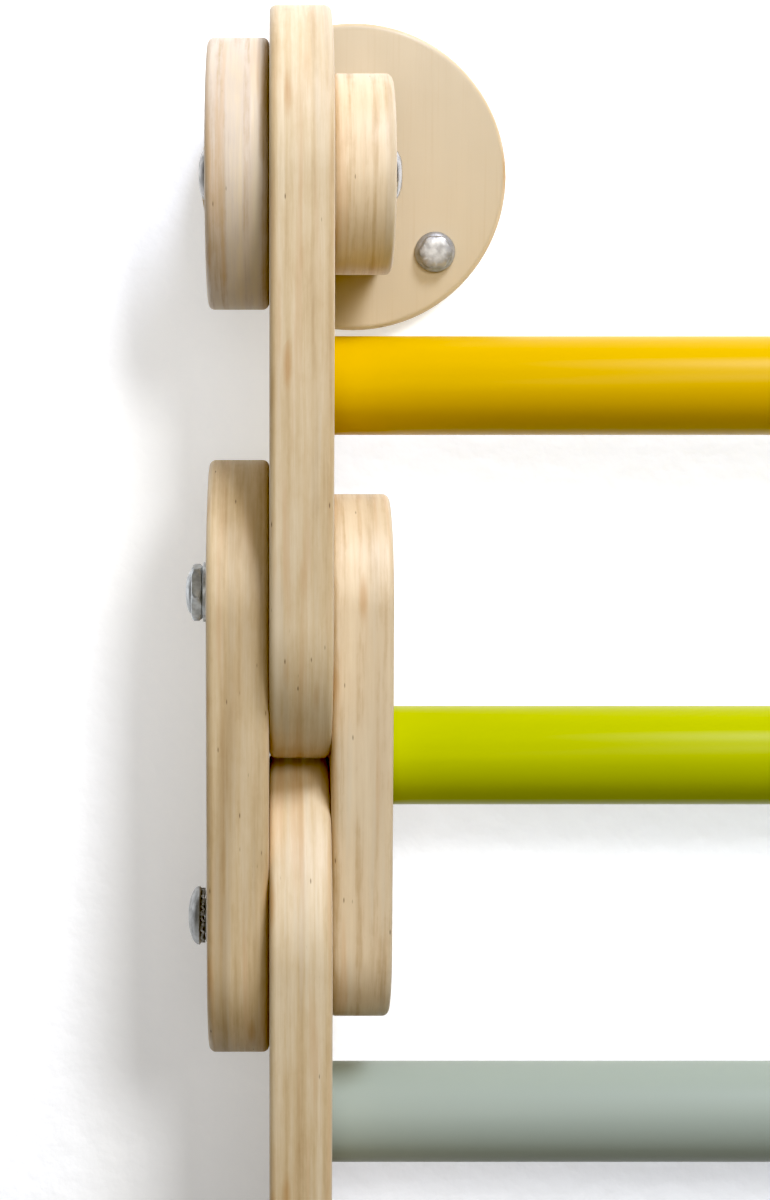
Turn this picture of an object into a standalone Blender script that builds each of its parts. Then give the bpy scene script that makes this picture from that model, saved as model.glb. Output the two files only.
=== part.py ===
"""Jointed plywood climbing frame, hung on a wall.

Each side is a chain of round-ended plywood boards: single links, joined end to end by pairs of
shorter plates, one plate outside the links and one inside. A rung crosses at the middle of every
link, and another at the middle of every pair of inner plates. The bolts through the three layers
are the pivots. A bracket holds the top of each chain to the wall: a round flange lies on the wall,
a tongue stands out of it beside the link, and a round cover lies outside the link. The lowest
links end free, with open bolt holes.

Metres, +Z up. +X runs along the rungs and +Y into the wall. The origin is on the wall, midway
between the two flanges and level with their centres.
"""

import math

import bmesh
import bpy
from mathutils import Vector

# Boards
BOARD_THICKNESS = 0.018
EDGE_CHAMFER = 0.0016
LINK_WIDTH = 0.100
LINK_PITCH = 0.127
LINK_COUNT = 2
LINK_END_GAP = 0.002
OUTER_PLATE_WIDTH = 0.081
INNER_PLATE_WIDTH = 0.060
CLEAR_WIDTH = 0.640
LAYER_GAP = 0.0003

# Rungs
RUNG_DIAMETER = 0.030
RUNG_SOCKET_DEPTH = 0.009
RUNG_END_CHAMFER = 0.001
GLUE_GAP = 0.0003

# Pivot bolts of the chain
BOLT_DIAMETER = 0.010
BOLT_CLEARANCE = 0.0005
FLUSH_HEAD_DIAMETER = 0.020
FLUSH_HEAD_HEIGHT = 0.0046
SEAT_GAP = 0.0003
NUT_WASHER_DIAMETER = 0.0182
NUT_WASHER_THICKNESS = 0.0018
PLAIN_WASHER_DIAMETER = 0.0162
PLAIN_WASHER_THICKNESS = 0.0012
LOCK_WASHER_DIAMETER = 0.0166
LOCK_WASHER_ROOT_DIAMETER = 0.0140
LOCK_WASHER_THICKNESS = 0.0010
LOCK_WASHER_TEETH = 14
CAP_NUT_ACROSS_FLATS = 0.016
CAP_NUT_HEX_HEIGHT = 0.0032
CAP_NUT_DOME_HEIGHT = 0.0018
CAP_NUT_DOME_DIAMETER = 0.0128
CAP_NUT_BORE_DEPTH = 0.0034
MUSHROOM_DIAMETER = 0.0178
MUSHROOM_HEIGHT = 0.0038

# Wall brackets
FLANGE_DIAMETER = 0.100
FLANGE_THICKNESS = 0.018
FLANGE_GAP = 0.003
TENON_HEIGHT = 0.036
TENON_LENGTH = 0.012
BINDING_HEAD_DIAMETER = 0.0158
SLEEVE_HEAD_HEIGHT = 0.0029
BINDING_SCREW_HEAD_HEIGHT = 0.0036
BINDING_SCREW_DIAMETER = 0.006
BINDING_SCREW_REACH = 0.024
BINDING_END_GAP = 0.002
WALL_SCREW_INSET = 0.014
WALL_SCREW_SLOPE = math.radians(42)
WALL_SCREW_DIAMETER = 0.008
WALL_SCREW_ACROSS_FLATS = 0.0125
WALL_SCREW_HEX_HEIGHT = 0.0022
WALL_SCREW_DOME_HEIGHT = 0.0026
WALL_SCREW_DOME_DIAMETER = 0.0116

# Facets
BOARD_ARC_STEPS = 16
PLATE_ARC_STEPS = 14
RUNG_STEPS = 24
BOLT_STEPS = 12
DOME_STEPS = 3
FLANGE_STEPS = 40
SMOOTH_BELOW = math.radians(40)

# Places worked out from the sizes above
PLATE_PITCH = LINK_WIDTH + LINK_END_GAP
FLANGE_FRONT = LINK_WIDTH / 2 + FLANGE_GAP
WALL_DISTANCE = FLANGE_FRONT + FLANGE_THICKNESS
LAYER_PITCH = BOARD_THICKNESS + LAYER_GAP
LINK_CENTRE_X = (CLEAR_WIDTH + BOARD_THICKNESS) / 2
OUTER_CENTRE_X = LINK_CENTRE_X + LAYER_PITCH
INNER_CENTRE_X = LINK_CENTRE_X - LAYER_PITCH
OUTER_FACE_X = OUTER_CENTRE_X + BOARD_THICKNESS / 2
INNER_FACE_X = INNER_CENTRE_X - BOARD_THICKNESS / 2
BOLT_RADIUS = BOLT_DIAMETER / 2
BOLT_HOLE_RADIUS = BOLT_RADIUS + BOLT_CLEARANCE
RECESS_RADIUS = FLUSH_HEAD_DIAMETER / 2 + SEAT_GAP
RECESS_DEPTH = FLUSH_HEAD_HEIGHT + 2 * SEAT_GAP
SCREW_CIRCLE_RADIUS = FLANGE_DIAMETER / 2 - WALL_SCREW_INSET
SCREW_RADIUS = WALL_SCREW_DIAMETER / 2
SCREW_HOLE_RADIUS = SCREW_RADIUS + BOLT_CLEARANCE
RUNG_RADIUS = RUNG_DIAMETER / 2
SOCKET_RADIUS = RUNG_RADIUS + GLUE_GAP
HEX_CORNER = 1 / math.cos(math.pi / 6)
SIDES = {"left": -1, "right": 1}

# A board is made flat in XY. These turns stand it up with its upper face towards the rungs, and
# lay a flange on the wall with its upper face towards the room. Fasteners are turned about X.
QUARTER = math.pi / 2
INWARD_TURN = {"left": (QUARTER, 0, QUARTER), "right": (QUARTER, 0, -QUARTER)}
FLANGE_TURN = (QUARTER, 0, 0)
OUT_OF_WALL_TURN = (0, 0, -QUARTER)
OUTWARD_TURN = {"left": (0, 0, 2 * QUARTER), "right": (0, 0, 0)}
NO_TURN = (0, 0, 0)

# Colour, roughness and metallic value of each finish
BIRCH = ((0.80, 0.66, 0.46), 0.55, 0.0)
YELLOW = ((0.88, 0.60, 0.0), 0.35, 0.0)
LIME = ((0.50, 0.58, 0.01), 0.35, 0.0)
SAGE = ((0.40, 0.46, 0.40), 0.4, 0.0)
ZINC = ((0.62, 0.63, 0.64), 0.3, 1.0)
RUNG_FINISHES = (YELLOW, LIME, SAGE)

for old in list(bpy.data.objects):
    bpy.data.objects.remove(old)

places = {}


def finish(name, look):
    """The sub-part's own plain material."""
    colour, roughness, metallic = look
    material = bpy.data.materials.new(name)
    material.use_nodes = True
    shader = material.node_tree.nodes["Principled BSDF"]
    shader.inputs["Base Color"].default_value = (*colour, 1)
    shader.inputs["Roughness"].default_value = roughness
    shader.inputs["Metallic"].default_value = metallic
    return material


def mesh_from(name, bm):
    """A mesh with its faces pointing out, smooth on its round sides."""
    bmesh.ops.recalc_face_normals(bm, faces=bm.faces)
    mesh = bpy.data.meshes.new(name)
    bm.to_mesh(mesh)
    bm.free()
    mesh.shade_smooth()
    mesh.set_sharp_from_angle(angle=SMOOTH_BELOW)
    return mesh


def place(name, mesh, hub, offset, turn, look):
    """One named sub-part, set by its offset from the pivot that carries it."""
    part = bpy.data.objects.new(name, mesh)
    bpy.context.scene.collection.objects.link(part)
    if not mesh.materials:
        mesh.materials.append(None)
    part.material_slots[0].link = "OBJECT"
    part.material_slots[0].material = finish(name, look)
    part.parent = hub
    part.location = offset
    part.rotation_euler = turn


def pivot(name, carrier, height):
    """An empty on a pivot's axis, carried by the pivot of the body before it."""
    spot = Vector((0, -WALL_DISTANCE, height))
    hub = bpy.data.objects.new(name, None)
    bpy.context.scene.collection.objects.link(hub)
    hub.parent = carrier
    hub.location = spot - places[carrier.name] if carrier else spot
    places[name] = spot
    return hub


def arc(centre, radius, start, end, steps):
    """Points of an arc, both ends among them."""
    across, up = centre
    turn = (end - start) / steps
    angles = [start + turn * k for k in range(steps + 1)]
    return [(across + radius * math.cos(a), up + radius * math.sin(a)) for a in angles]


def circle(centre, radius, steps):
    return arc(centre, radius, 0, 2 * math.pi, steps)[:-1]


def stadium(width, pitch, steps):
    """An upright outline whose round ends are centred on the two bolts."""

    def points(inset):
        radius = width / 2 - inset
        top = arc((0, pitch / 2), radius, 0, math.pi, steps)
        return top + arc((0, -pitch / 2), radius, math.pi, 2 * math.pi, steps)

    return points


def disc(diameter, steps):
    def points(inset):
        return circle((0, 0), diameter / 2 - inset, steps)

    return points


def tongue_outline(inset):
    """Round about the bolt, straight back to the flange, then the tenon that enters it."""
    radius = INNER_PLATE_WIDTH / 2 - inset
    tenon = TENON_HEIGHT / 2 - inset
    shoulder = FLANGE_FRONT - GLUE_GAP
    end = FLANGE_FRONT + TENON_LENGTH - GLUE_GAP - inset
    round_end = arc((0, 0), radius, QUARTER, 3 * QUARTER, PLATE_ARC_STEPS)
    lower = [(shoulder - inset, -radius), (shoulder - inset, -tenon), (end, -tenon)]
    return round_end + lower + [(x, -y) for x, y in reversed(lower)]


def ring(bm, points, height):
    return [bm.verts.new((x, y, height)) for x, y in points]


def band(bm, lower, upper):
    """Four-sided faces between two rings."""
    count = len(lower)
    for k in range(count):
        after = (k + 1) % count
        bm.faces.new((lower[k], lower[after], upper[after], upper[k]))


def edges_of(bm, loop):
    count = len(loop)
    return [bm.edges.get((loop[k], loop[(k + 1) % count])) for k in range(count)]


def round_hole(centre, stations, steps=BOLT_STEPS):
    """Loops of a stepped hole, each given as (radius, depth below the upper face)."""
    return [(circle(centre, radius, steps), depth) for radius, depth in stations]


def board(name, outline, thickness, holes):
    """A flat board with eased edges. Each hole is its loops, from the upper face down."""
    bm = bmesh.new()
    half = thickness / 2
    shoulder = half - EDGE_CHAMFER
    levels = [(EDGE_CHAMFER, -half), (0, -shoulder), (0, shoulder), (EDGE_CHAMFER, half)]
    rings = [ring(bm, outline(inset), height) for inset, height in levels]
    for lower, upper in zip(rings, rings[1:]):
        band(bm, lower, upper)
    lower_edges = edges_of(bm, rings[0])
    upper_edges = edges_of(bm, rings[-1])
    for hole in holes:
        loops = [ring(bm, points, half - depth) for points, depth in hole]
        for above, below in zip(loops, loops[1:]):
            band(bm, below, above)
        upper_edges += edges_of(bm, loops[0])
        if hole[-1][1] < thickness:
            bm.faces.new(loops[-1])
        else:
            lower_edges += edges_of(bm, loops[-1])
    bmesh.ops.triangle_fill(bm, use_beauty=True, edges=lower_edges, normal=(0, 0, -1))
    bmesh.ops.triangle_fill(bm, use_beauty=True, edges=upper_edges, normal=(0, 0, 1))
    return mesh_from(name, bm)


def turned(name, stations, steps=BOLT_STEPS, bored=False):
    """A piece turned about X from (x, radius) stations. A third value lifts corners or teeth."""
    bm = bmesh.new()
    rings = []
    for x, radius, *corner in stations:
        verts = []
        for k in range(steps):
            reach = radius * corner[0] if corner and k % 2 == 0 else radius
            angle = 2 * math.pi * k / steps
            verts.append(bm.verts.new((x, reach * math.cos(angle), reach * math.sin(angle))))
        rings.append(verts)
    for near, far in zip(rings, rings[1:]):
        band(bm, near, far)
    if bored:
        band(bm, rings[-1], rings[0])
    else:
        bm.faces.new(rings[0])
        bm.faces.new(rings[-1])
    return mesh_from(name, bm)


def dome(start, height, radius):
    """Stations of a low dome that ends in a small flat crown."""
    angles = [math.radians(70) * (k + 1) / DOME_STEPS for k in range(DOME_STEPS)]
    top = math.sin(angles[-1])
    return [(start + height * math.sin(a) / top, radius * math.cos(a)) for a in angles]


def washer(name, start, end, diameter, root_diameter=None, teeth=0):
    """A flat ring that slips over a bolt, with a toothed rim if it has teeth."""
    rim = [(x, diameter / 2) for x in (start, end)]
    steps = BOLT_STEPS
    if teeth:
        rim = [(x, root_diameter / 2, diameter / root_diameter) for x in (start, end)]
        steps = 2 * teeth
    return turned(name, [(start, BOLT_HOLE_RADIUS), *rim, (end, BOLT_HOLE_RADIUS)], steps, bored=True)


def board_holes(pitch, stations):
    return [round_hole((0, up), stations) for up in (pitch / 2, -pitch / 2)]


def cap_nut(seat, across_flats, hex_height, dome_height, dome_diameter, bore, bore_depth):
    """Stations of a low hexagonal nut with a domed crown and a blind bore."""
    flats = across_flats / 2
    shoulder = seat + hex_height
    stations = [(seat + bore_depth, bore), (seat, bore)]
    stations += [(seat, flats, HEX_CORNER), (shoulder, flats, HEX_CORNER)]
    return stations + [(shoulder, dome_diameter / 2)] + dome(shoulder, dome_height, dome_diameter / 2)


THROUGH_BOLT = [(BOLT_HOLE_RADIUS, 0), (BOLT_HOLE_RADIUS, BOARD_THICKNESS)]
RECESSED_BOLT = [(RECESS_RADIUS, 0), (RECESS_RADIUS, RECESS_DEPTH), (BOLT_HOLE_RADIUS, RECESS_DEPTH)]
RECESSED_BOLT += THROUGH_BOLT[1:]
SOCKET = round_hole((0, 0), [(SOCKET_RADIUS, 0), (SOCKET_RADIUS, RUNG_SOCKET_DEPTH)], RUNG_STEPS)

link = board(
    "link",
    stadium(LINK_WIDTH, LINK_PITCH, BOARD_ARC_STEPS),
    BOARD_THICKNESS,
    [*board_holes(LINK_PITCH, THROUGH_BOLT), SOCKET],
)
outer_plate = board(
    "outer_plate",
    stadium(OUTER_PLATE_WIDTH, PLATE_PITCH, PLATE_ARC_STEPS),
    BOARD_THICKNESS,
    board_holes(PLATE_PITCH, THROUGH_BOLT),
)
inner_plate = board(
    "inner_plate",
    stadium(INNER_PLATE_WIDTH, PLATE_PITCH, PLATE_ARC_STEPS),
    BOARD_THICKNESS,
    [*board_holes(PLATE_PITCH, RECESSED_BOLT), SOCKET],
)
cover = board(
    "cover",
    disc(OUTER_PLATE_WIDTH, 2 * PLATE_ARC_STEPS),
    BOARD_THICKNESS,
    [round_hole((0, 0), THROUGH_BOLT)],
)
tongue = board("tongue", tongue_outline, BOARD_THICKNESS, [round_hole((0, 0), THROUGH_BOLT)])


def rung(name, clear_length):
    """A beech rod whose ends are glued into blind sockets."""
    half = clear_length / 2 + RUNG_SOCKET_DEPTH - GLUE_GAP
    shoulder = half - RUNG_END_CHAMFER
    tip = RUNG_RADIUS - RUNG_END_CHAMFER
    stations = [(-half, tip), (-shoulder, RUNG_RADIUS), (shoulder, RUNG_RADIUS), (half, tip)]
    return turned(name, stations, RUNG_STEPS)


link_rung = rung("link_rung", CLEAR_WIDTH)
plate_rung = rung("plate_rung", 2 * INNER_FACE_X)

# Upper pivot of a plate pair: a flush head inside, and a washer under a cap nut outside
head_start = INNER_FACE_X + SEAT_GAP
head_end = head_start + FLUSH_HEAD_HEIGHT
head_radius = FLUSH_HEAD_DIAMETER / 2
plate_seat = OUTER_FACE_X + SEAT_GAP
nut_washer_top = plate_seat + NUT_WASHER_THICKNESS
nut_seat = nut_washer_top + SEAT_GAP
bolt_tip = nut_seat + CAP_NUT_BORE_DEPTH - SEAT_GAP
flush_bolt = turned(
    "flush_bolt",
    [(head_start, head_radius), (head_end, head_radius), (head_end, BOLT_RADIUS), (bolt_tip, BOLT_RADIUS)],
)
chain_cap_nut = turned(
    "chain_cap_nut",
    cap_nut(
        nut_seat,
        CAP_NUT_ACROSS_FLATS,
        CAP_NUT_HEX_HEIGHT,
        CAP_NUT_DOME_HEIGHT,
        CAP_NUT_DOME_DIAMETER,
        BOLT_HOLE_RADIUS,
        CAP_NUT_BORE_DEPTH,
    ),
)
nut_washer = washer("nut_washer", plate_seat, nut_washer_top, NUT_WASHER_DIAMETER)

# Lower pivot of a plate pair: a mushroom head on two washers outside, and a round nut inside
plain_washer_top = plate_seat + PLAIN_WASHER_THICKNESS
lock_washer_start = plain_washer_top + SEAT_GAP
lock_washer_top = lock_washer_start + LOCK_WASHER_THICKNESS
mushroom_seat = lock_washer_top + SEAT_GAP
mushroom_radius = MUSHROOM_DIAMETER / 2
mushroom_bolt = turned(
    "mushroom_bolt",
    [(head_start, BOLT_RADIUS), (mushroom_seat, BOLT_RADIUS), (mushroom_seat, mushroom_radius)]
    + dome(mushroom_seat, MUSHROOM_HEIGHT, mushroom_radius),
)
plain_washer = washer("plain_washer", plate_seat, plain_washer_top, PLAIN_WASHER_DIAMETER)
lock_washer = washer(
    "lock_washer",
    lock_washer_start,
    lock_washer_top,
    LOCK_WASHER_DIAMETER,
    LOCK_WASHER_ROOT_DIAMETER,
    LOCK_WASHER_TEETH,
)
round_nut = washer("round_nut", head_start, head_end, FLUSH_HEAD_DIAMETER)

# Binding bolt of a bracket: a domed sleeve nut from outside takes a domed screw from inside
sleeve_mouth = INNER_FACE_X + BINDING_END_GAP
sleeve_bore_end = sleeve_mouth + BINDING_SCREW_REACH + BINDING_END_GAP
binding_head_radius = BINDING_HEAD_DIAMETER / 2
binding_screw_radius = BINDING_SCREW_DIAMETER / 2
binding_bore_radius = binding_screw_radius + BOLT_CLEARANCE
binding_sleeve = turned(
    "binding_sleeve",
    [
        (sleeve_bore_end, binding_bore_radius),
        (sleeve_mouth, binding_bore_radius),
        (sleeve_mouth, BOLT_RADIUS),
        (plate_seat, BOLT_RADIUS),
        (plate_seat, binding_head_radius),
    ]
    + dome(plate_seat, SLEEVE_HEAD_HEIGHT - SEAT_GAP, binding_head_radius),
)
screw_seat = -INNER_FACE_X + SEAT_GAP
screw_tip = -sleeve_mouth - BINDING_SCREW_REACH
binding_screw = turned(
    "binding_screw",
    [
        (screw_tip, binding_screw_radius),
        (screw_seat, binding_screw_radius),
        (screw_seat, binding_head_radius),
    ]
    + dome(screw_seat, BINDING_SCREW_HEAD_HEIGHT - SEAT_GAP, binding_head_radius),
)

# Wall screw: a low domed hexagon head, and the length of shank that is inside the flange
screw_head = cap_nut(
    FLANGE_THICKNESS + SEAT_GAP,
    WALL_SCREW_ACROSS_FLATS,
    WALL_SCREW_HEX_HEIGHT,
    WALL_SCREW_DOME_HEIGHT,
    WALL_SCREW_DOME_DIAMETER,
    SCREW_RADIUS,
    0,
)
wall_screw = turned("wall_screw", [(0, SCREW_RADIUS)] + screw_head[1:])


def screw_places(inward):
    """One screw low on the side of the rungs, and one high behind the link."""
    across = inward * SCREW_CIRCLE_RADIUS * math.cos(WALL_SCREW_SLOPE)
    up = SCREW_CIRCLE_RADIUS * math.sin(WALL_SCREW_SLOPE)
    return [(across, -up), (-across, up)]


def add_flange(side, sign, hub):
    """The round wall board, with a blind mortise for the tongue's tenon."""
    across = BOARD_THICKNESS / 2 + GLUE_GAP
    up = TENON_HEIGHT / 2 + GLUE_GAP
    corners = [(across, -up), (across, up), (-across, up), (-across, -up)]
    screw_hole = [(SCREW_HOLE_RADIUS, 0), (SCREW_HOLE_RADIUS, FLANGE_THICKNESS)]
    holes = [[(corners, 0), (corners, TENON_LENGTH)]]
    holes += [round_hole(centre, screw_hole) for centre in screw_places(-sign)]
    name = f"wall_flange_{side}"
    mesh = board(name, disc(FLANGE_DIAMETER, FLANGE_STEPS), FLANGE_THICKNESS, holes)
    spot = (sign * INNER_CENTRE_X, WALL_DISTANCE - FLANGE_THICKNESS / 2, 0)
    place(name, mesh, hub, spot, FLANGE_TURN, BIRCH)


def add_brackets(hub):
    """Both wall brackets: they are the body that the wall holds."""
    for side, sign in SIDES.items():
        inner_spot = (sign * INNER_CENTRE_X, 0, 0)
        add_flange(side, sign, hub)
        place(f"bracket_tongue_{side}", tongue, hub, inner_spot, INWARD_TURN["left"], BIRCH)
        place(f"bracket_cover_{side}", cover, hub, (sign * OUTER_CENTRE_X, 0, 0), INWARD_TURN[side], BIRCH)
        for level, (across, up) in zip(("lower", "upper"), screw_places(-sign)):
            spot = (sign * INNER_CENTRE_X + across, WALL_DISTANCE, up)
            place(f"wall_screw_{level}_{side}", wall_screw, hub, spot, OUT_OF_WALL_TURN, ZINC)
        place(f"bracket_sleeve_nut_{side}", binding_sleeve, hub, (0, 0, 0), OUTWARD_TURN[side], ZINC)
        place(f"bracket_screw_{side}", binding_screw, hub, (0, 0, 0), OUTWARD_TURN[side], ZINC)


def add_rung(number, mesh, hub, middle):
    """Rungs are numbered from the top and take the three colours in turn."""
    look = RUNG_FINISHES[(number - 1) % len(RUNG_FINISHES)]
    place(f"rung_{number}", mesh, hub, (0, 0, middle), NO_TURN, look)


def add_link(number, hub):
    middle = -LINK_PITCH / 2
    for side, sign in SIDES.items():
        spot = (sign * LINK_CENTRE_X, 0, middle)
        place(f"link_{number}_{side}", link, hub, spot, INWARD_TURN[side], BIRCH)
    add_rung(2 * number - 1, link_rung, hub, middle)


def add_plates(number, hub):
    """Four plates, their rung, and the fasteners of the pivots above and below it."""
    middle = -PLATE_PITCH / 2
    for side, sign in SIDES.items():
        outer_spot = (sign * OUTER_CENTRE_X, 0, middle)
        inner_spot = (sign * INNER_CENTRE_X, 0, middle)
        place(f"outer_plate_{number}_{side}", outer_plate, hub, outer_spot, INWARD_TURN[side], BIRCH)
        place(f"inner_plate_{number}_{side}", inner_plate, hub, inner_spot, INWARD_TURN[side], BIRCH)
        for name, fastener in (
            ("upper_bolt", flush_bolt),
            ("nut_washer", nut_washer),
            ("cap_nut", chain_cap_nut),
        ):
            place(f"{name}_{number}_{side}", fastener, hub, (0, 0, 0), OUTWARD_TURN[side], ZINC)
        for name, fastener in (
            ("lower_bolt", mushroom_bolt),
            ("plain_washer", plain_washer),
            ("lock_washer", lock_washer),
            ("round_nut", round_nut),
        ):
            place(f"{name}_{number}_{side}", fastener, hub, (0, 0, -PLATE_PITCH), OUTWARD_TURN[side], ZINC)
    add_rung(2 * number, plate_rung, hub, middle)


bracket_hub = pivot("brackets_pivot", None, 0)
add_brackets(bracket_hub)
carrier = bracket_hub
height = 0
for number in range(1, LINK_COUNT + 1):
    carrier = pivot(f"link_{number}_pivot", carrier, height)
    add_link(number, carrier)
    height -= LINK_PITCH
    if number < LINK_COUNT:
        carrier = pivot(f"plates_{number}_pivot", carrier, height)
        add_plates(number, carrier)
        height -= PLATE_PITCH
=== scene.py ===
import math

import bmesh
import bpy
from mathutils import Euler, Matrix, Vector


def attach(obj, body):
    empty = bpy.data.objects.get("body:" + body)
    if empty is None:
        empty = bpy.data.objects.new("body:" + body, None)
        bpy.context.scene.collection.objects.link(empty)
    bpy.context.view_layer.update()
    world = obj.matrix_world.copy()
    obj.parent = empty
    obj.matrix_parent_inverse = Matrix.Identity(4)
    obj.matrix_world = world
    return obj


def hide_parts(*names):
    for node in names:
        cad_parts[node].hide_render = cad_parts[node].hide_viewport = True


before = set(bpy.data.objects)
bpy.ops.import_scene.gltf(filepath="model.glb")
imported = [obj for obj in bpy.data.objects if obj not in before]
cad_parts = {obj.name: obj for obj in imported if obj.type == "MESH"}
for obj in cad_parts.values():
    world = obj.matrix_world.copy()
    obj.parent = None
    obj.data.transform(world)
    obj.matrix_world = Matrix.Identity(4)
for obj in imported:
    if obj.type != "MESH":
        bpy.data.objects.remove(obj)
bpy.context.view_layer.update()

# Link boards
# Two round-ended boards a side, cut from 18 mm birch plywood, with sanded round edges and a clear
# satin lacquer. Each has a bolt hole at both ends and a blind socket for its rung inside.

BOARD_THICKNESS = 0.01824
BOARD_EDGE_RADIUS = 0.0020
BOARD_EDGE_STEPS = 6
ROUND_END_STEPS = 40
HOLE_STEPS = 40
HOLE_EASE = 0.0005
SHARP_ANGLE = math.radians(35)
LINK_WIDTH = 0.100
LINK_PITCH = 0.127
LINK_COUNT = 2
LINK_CENTRE_X = 0.329
PLATE_PITCH = 0.102
PIVOT_PITCH = LINK_PITCH + PLATE_PITCH
CHAIN_Y = -0.071
BOLT_HOLE_RADIUS = 0.0055
SOCKET_RADIUS = 0.0153
SOCKET_DEPTH = 0.009
SOCKET_EASE = 0.0001
SIDES = {"left": -1, "right": 1}
QUARTER = math.pi / 2
INWARD = {"left": (QUARTER, 0, QUARTER), "right": (QUARTER, 0, -QUARTER)}


def arc(centre, radius, start, end, steps):
    across, up = centre
    angles = [start + (end - start) * k / steps for k in range(steps + 1)]
    return [(across + radius * math.cos(a), up + radius * math.sin(a)) for a in angles]


def circle(centre, radius, steps=HOLE_STEPS):
    return arc(centre, radius, 0, 2 * math.pi, steps)[:-1]


def round_ended(width, pitch):
    """The outline of a board with round ends about two bolt holes, drawn in by an inset."""

    def outline(inset):
        radius = width / 2 - inset
        top = arc((0, pitch / 2), radius, 0, math.pi, ROUND_END_STEPS)
        bottom = arc((0, -pitch / 2), radius, math.pi, 2 * math.pi, ROUND_END_STEPS)
        return top + bottom

    return outline


def ring(bm, points, height):
    return [bm.verts.new((x, y, height)) for x, y in points]


def band(bm, lower, upper):
    """A strip of faces between two closed loops with as many points each."""
    count = len(lower)
    for k in range(count):
        after = (k + 1) % count
        bm.faces.new((lower[k], lower[after], upper[after], upper[k]))


def loop_edges(bm, loop):
    count = len(loop)
    return [bm.edges.get((loop[k], loop[(k + 1) % count])) for k in range(count)]


def bored_through(centre, radius, depth):
    """A hole with both mouths lightly eased, as loops from the upper face down."""
    wide, narrow = circle(centre, radius + HOLE_EASE), circle(centre, radius)
    return [(wide, 0), (narrow, HOLE_EASE), (narrow, depth - HOLE_EASE), (wide, depth)]


def bolt_holes(pitch):
    return [bored_through((0, end * pitch / 2), BOLT_HOLE_RADIUS, BOARD_THICKNESS) for end in (1, -1)]


def blind_socket(centre):
    """A rung's socket, which stops inside the board."""
    mouth, wall = circle(centre, SOCKET_RADIUS + SOCKET_EASE), circle(centre, SOCKET_RADIUS)
    return [(mouth, 0), (wall, SOCKET_EASE), (wall, SOCKET_DEPTH)]


def stood_in_place(bm, name, spot, turn, smooth=True):
    """The finished form as an object, with its mesh turned and moved to its place in the frame."""
    bmesh.ops.recalc_face_normals(bm, faces=bm.faces)
    mesh = bpy.data.meshes.new(name)
    bm.to_mesh(mesh)
    bm.free()
    if smooth:
        mesh.set_sharp_from_angle(angle=SHARP_ANGLE)
    mesh.transform(Matrix.Translation(spot) @ Euler(turn).to_matrix().to_4x4())
    piece = bpy.data.objects.new(name, mesh)
    bpy.context.scene.collection.objects.link(piece)
    return piece


def cut_board(name, outline, holes, spot, turn, thickness=BOARD_THICKNESS):
    """A flat board with sanded round edges and its holes, stood in its place."""
    bm = bmesh.new()
    half = thickness / 2
    rounding = [QUARTER * k / BOARD_EDGE_STEPS for k in range(BOARD_EDGE_STEPS + 1)]
    upper_side = [
        (BOARD_EDGE_RADIUS * (1 - math.cos(a)), half - BOARD_EDGE_RADIUS * (1 - math.sin(a)))
        for a in rounding
    ]
    lower_side = [(inset, -height) for inset, height in reversed(upper_side)]
    rings = [ring(bm, outline(inset), height) for inset, height in lower_side + upper_side]
    for below, above in zip(rings, rings[1:]):
        band(bm, below, above)
    lower_edges, upper_edges = loop_edges(bm, rings[0]), loop_edges(bm, rings[-1])
    for hole in holes:
        loops = [ring(bm, points, half - depth) for points, depth in hole]
        for above, below in zip(loops, loops[1:]):
            band(bm, below, above)
        upper_edges += loop_edges(bm, loops[0])
        if hole[-1][1] < thickness:
            bm.faces.new(loops[-1])
        else:
            lower_edges += loop_edges(bm, loops[-1])
    bmesh.ops.triangle_fill(bm, use_beauty=True, edges=lower_edges, normal=(0, 0, -1))
    bmesh.ops.triangle_fill(bm, use_beauty=True, edges=upper_edges, normal=(0, 0, 1))
    return stood_in_place(bm, name, spot, turn)


def fit(piece, body, node, material):
    """The finished piece takes the place of its solid and moves with the same body."""
    piece.data.materials.append(material)
    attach(piece, body)
    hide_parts(node)


def new_finish(name):
    """An empty material, with its nodes and its surface shader."""
    material = bpy.data.materials.new(name)
    material.use_nodes = True
    tree = material.node_tree
    return material, tree, tree.nodes["Principled BSDF"]


def lay(tree, kind, inputs=None, **settings):
    """One shader node, with each input set or wired."""
    node = tree.nodes.new(kind)
    for key, value in settings.items():
        setattr(node, key, value)
    for key, value in (inputs or {}).items():
        if isinstance(value, bpy.types.NodeSocket):
            tree.links.new(value, node.inputs[key])
        else:
            node.inputs[key].default_value = value
    return node


def reckon(tree, operation, first, second=0.0, clamp=False):
    node = lay(tree, "ShaderNodeMath", {0: first, 1: second}, operation=operation, use_clamp=clamp)
    return node.outputs[0]


def spread(tree, value, low, high, to_low=0.0, to_high=1.0):
    """A value between low and high, drawn out softly over a new range."""
    inputs = {"Value": value, "From Min": low, "From Max": high, "To Min": to_low, "To Max": to_high}
    node = lay(tree, "ShaderNodeMapRange", inputs, interpolation_type="SMOOTHSTEP")
    return node.outputs["Result"]


def stain(tree, amount, under, over):
    """One colour laid over another, as strongly as the amount says."""
    inputs = {"Factor": amount, 6: under, 7: over}
    return lay(tree, "ShaderNodeMix", inputs, data_type="RGBA").outputs[2]


def stretched(tree, place, scales, shift=0.0):
    """Places scaled along each axis, so that a pattern on them is drawn out."""
    inputs = {0: place, 1: scales, 2: (shift, shift, shift)}
    return lay(tree, "ShaderNodeVectorMath", inputs, operation="MULTIPLY_ADD").outputs[0]


def cloudy(tree, vector, scale=1.0, **inputs):
    """Soft noise from 0 to 1."""
    settings = {"Vector": vector, "Scale": scale}
    settings.update({key.capitalize(): value for key, value in inputs.items()})
    return lay(tree, "ShaderNodeTexNoise", settings).outputs["Fac"]


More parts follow.
